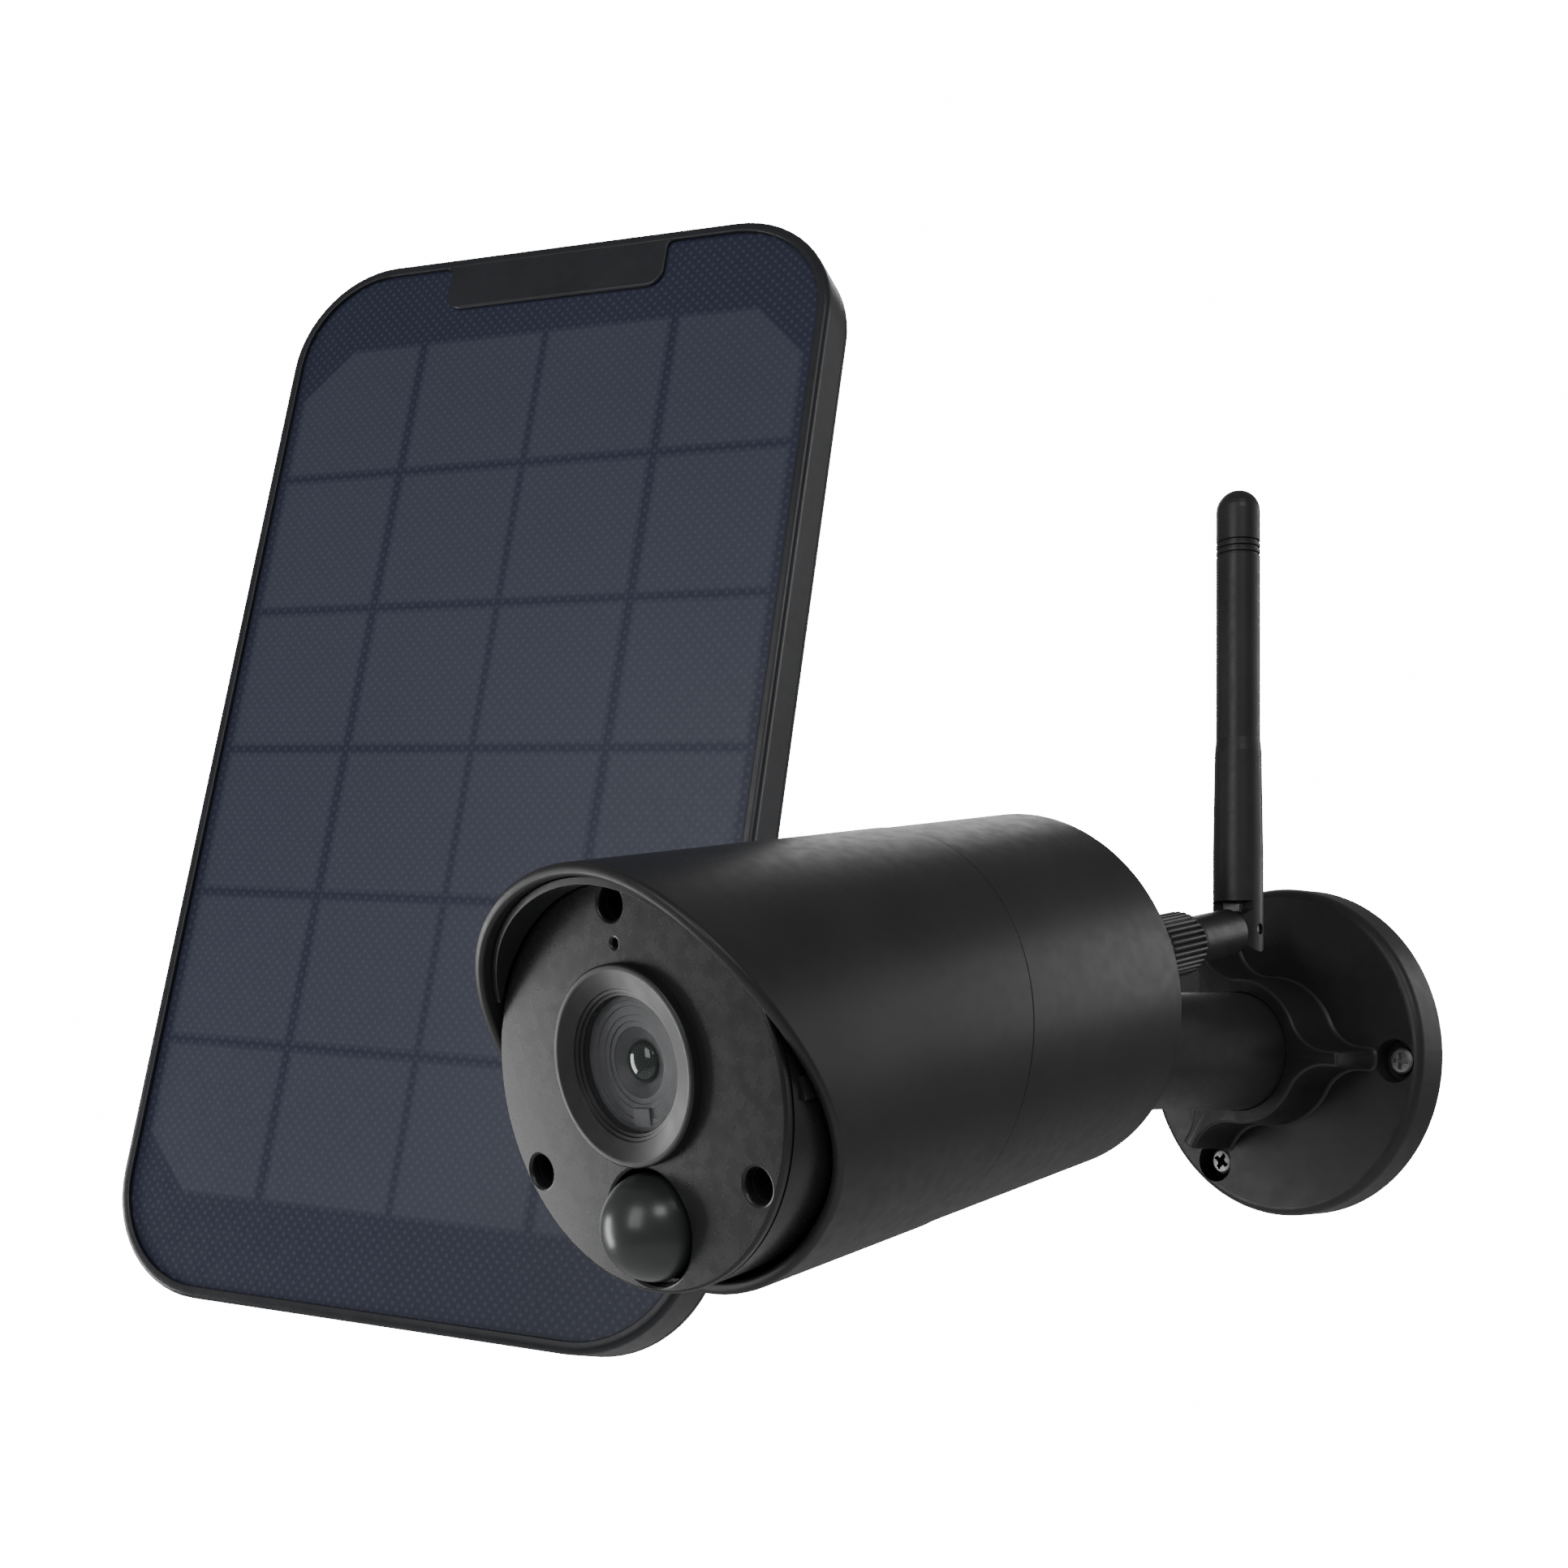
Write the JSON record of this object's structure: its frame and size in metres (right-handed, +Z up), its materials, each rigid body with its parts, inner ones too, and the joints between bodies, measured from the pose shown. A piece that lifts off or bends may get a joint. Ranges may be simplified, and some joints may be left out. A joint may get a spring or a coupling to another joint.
{
  "type": "solar-powered security camera",
  "caption": "Tube-shaped wireless security camera on a swivelling, tilting wall disc, with a folding antenna and a solar panel on a swing-arm wall bracket beside it.",
  "frame": {"origin": "centre of the camera disc's wall face", "axes": "+Y into the wall, -Y towards the front, +Z up, +X to the right seen from the front"},
  "size_m": [0.2848, 0.2162, 0.2493],
  "materials": {
    "shell_black": "satin black moulded shell",
    "mount_black": "satin black moulded bracket plastic",
    "foam_dark": "closed-cell foam pad",
    "screw_steel": "plated steel screw",
    "black_screw": "blackened steel screw",
    "face_black": "satin face plate",
    "ring_black": "glossy lens ring",
    "window_glass": "smoked flat window",
    "barrel_black": "black anodised barrel",
    "lens_glass": "coated lens",
    "board_green": "circuit board with parts",
    "board_black": "dark lamp board with clear lamps",
    "dome_smoke": "smoky translucent motion dome",
    "can_metal": "metal sensor can",
    "speaker_metal": "small loudspeaker",
    "cell_wrap": "shrink-wrapped round cell",
    "cradle_grey": "grey battery cradle",
    "seal_rubber": "rubber seal",
    "flap_rubber": "soft rubber flap",
    "connector_brass": "plated threaded socket",
    "nut_black": "knurled black nut",
    "antenna_black": "satin black antenna sleeve",
    "pin_steel": "steel pin",
    "panel_black": "satin black panel frame",
    "film_blue": "textured protective film over the cells",
    "cell_grey": "silicon cell"
  },
  "bodies": {
    "wall_mount": {"wall_gasket": "foam_dark", "wall_disc": "mount_black", "wall_screws": "screw_steel", "bracket_plate": "mount_black", "bracket_screws": "screw_steel", "swing_bolt": "black_screw"},
    "lock_ring": {"lock_ring": "mount_black"},
    "neck": {"neck": "mount_black", "tilt_pin": "pin_steel", "tilt_nut": "pin_steel"},
    "knuckle": {"knuckle_block": "mount_black", "stub_nut": "pin_steel"},
    "head": {"front_sleeve": "shell_black", "rear_sleeve": "shell_black", "hood_liner": "shell_black", "rear_cover": "shell_black", "rear_seal": "seal_rubber", "rear_screws": "black_screw", "inner_housing": "face_black", "face_plate": "face_black", "face_screws": "black_screw", "clip_tab": "face_black", "lens_ring": "ring_black", "lens_window": "window_glass", "lens_barrel": "barrel_black", "lens_element": "lens_glass", "image_sensor": "board_green", "ir_lamp_board": "board_black", "motion_dome": "dome_smoke", "motion_sensor": "can_metal", "microphone": "can_metal", "speaker": "speaker_metal", "main_board": "board_green", "battery_cradle": "cradle_grey", "battery_left": "cell_wrap", "battery_right": "cell_wrap", "antenna_socket": "connector_brass", "charging_socket": "can_metal"},
    "port_flap": {"port_flap": "flap_rubber"},
    "reset_button": {"reset_button": "face_black"},
    "antenna_nut": {"antenna_nut": "nut_black"},
    "antenna_elbow": {"antenna_elbow": "antenna_black", "antenna_pin": "pin_steel"},
    "antenna_rod": {"antenna_rod": "antenna_black"},
    "swing_arm": {"swing_arm": "mount_black", "pan_bolt": "black_screw"},
    "pan_elbow": {"pan_elbow": "mount_black", "tilt_bolt": "pin_steel"},
    "tilt_block": {"tilt_block": "mount_black"},
    "clamp_knob": {"clamp_knob": "mount_black"},
    "panel": {"panel_frame": "panel_black", "panel_film": "film_blue", "cell_string_1": "cell_grey", "cell_string_2": "cell_grey", "cell_string_3": "cell_grey", "cell_string_4": "cell_grey", "panel_back": "panel_black", "regulator_board": "board_green", "cable_inlet": "seal_rubber", "panel_screws": "black_screw"}
  },
  "joints": [
    {"name": "lock_ring_turn", "type": "hinge", "parent": "wall_mount", "child": "lock_ring", "pos_m": [0, -0.0143, 0], "axis": [0, -1, 0], "range_deg": [0, 60]},
    {"name": "neck_swivel", "type": "hinge", "parent": "wall_mount", "child": "neck", "pos_m": [0, -0.006, 0], "axis": [0, 1, 0], "continuous": true},
    {"name": "head_tilt", "type": "hinge", "parent": "neck", "child": "knuckle", "pos_m": [0, -0.0858, 0], "axis": [0.7079, 0, 0.7063], "range_deg": [-35.5, 7.9]},
    {"name": "head_roll", "type": "hinge", "parent": "knuckle", "child": "head", "pos_m": [0, -0.0858, 0], "axis": [-0.1683, 0.9712, 0.1687], "range_deg": [-30, 40]},
    {"name": "flap_open", "type": "hinge", "parent": "head", "child": "port_flap", "pos_m": [-0.00055, -0.08265, 0.03022], "axis": [0.9853, 0.1707, 0], "range_deg": [0, 95]},
    {"name": "reset_press", "type": "slide", "parent": "head", "child": "reset_button", "axis": [0.1683, -0.9712, -0.1687], "range_m": [0, 0.0008], "stiffness_N_per_m": 600},
    {"name": "antenna_nut_turn", "type": "hinge", "parent": "head", "child": "antenna_nut", "pos_m": [0.01901, -0.05609, 0.01982], "axis": [-0.1683, 0.9712, 0.1687], "continuous": true},
    {"name": "antenna_swivel", "type": "hinge", "parent": "head", "child": "antenna_elbow", "pos_m": [0.01732, -0.04638, 0.02151], "axis": [-0.1683, 0.9712, 0.1687], "range_deg": [0, 90]},
    {"name": "antenna_fold", "type": "hinge", "parent": "antenna_elbow", "child": "antenna_rod", "pos_m": [0.01615, -0.03958, 0.02269], "axis": [0.9844, 0.1744, -0.0223], "range_deg": [-8, 9.5]},
    {"name": "arm_swing", "type": "hinge", "parent": "wall_mount", "child": "swing_arm", "pos_m": [-0.216, -0.017, 0.05977], "axis": [0, 0, 1], "range_deg": [-80, 2]},
    {"name": "panel_pan", "type": "hinge", "parent": "swing_arm", "child": "pan_elbow", "pos_m": [-0.14153, -0.08704, 0.05977], "axis": [0, 0, 1], "range_deg": [-60, 60]},
    {"name": "panel_tilt", "type": "hinge", "parent": "pan_elbow", "child": "tilt_block", "pos_m": [-0.12902, -0.10752, 0.05977], "axis": [0.8533, 0.5215, 0], "range_deg": [-44, 15]},
    {"name": "panel_roll", "type": "hinge", "parent": "tilt_block", "child": "panel", "pos_m": [-0.12902, -0.10752, 0.05977], "axis": [-0.5127, 0.8389, -0.1828], "range_deg": [-8, 8]},
    {"name": "knob_turn", "type": "hinge", "parent": "pan_elbow", "child": "clamp_knob", "pos_m": [-0.12902, -0.10752, 0.05977], "axis": [0.8533, 0.5215, 0], "continuous": true}
  ]
}
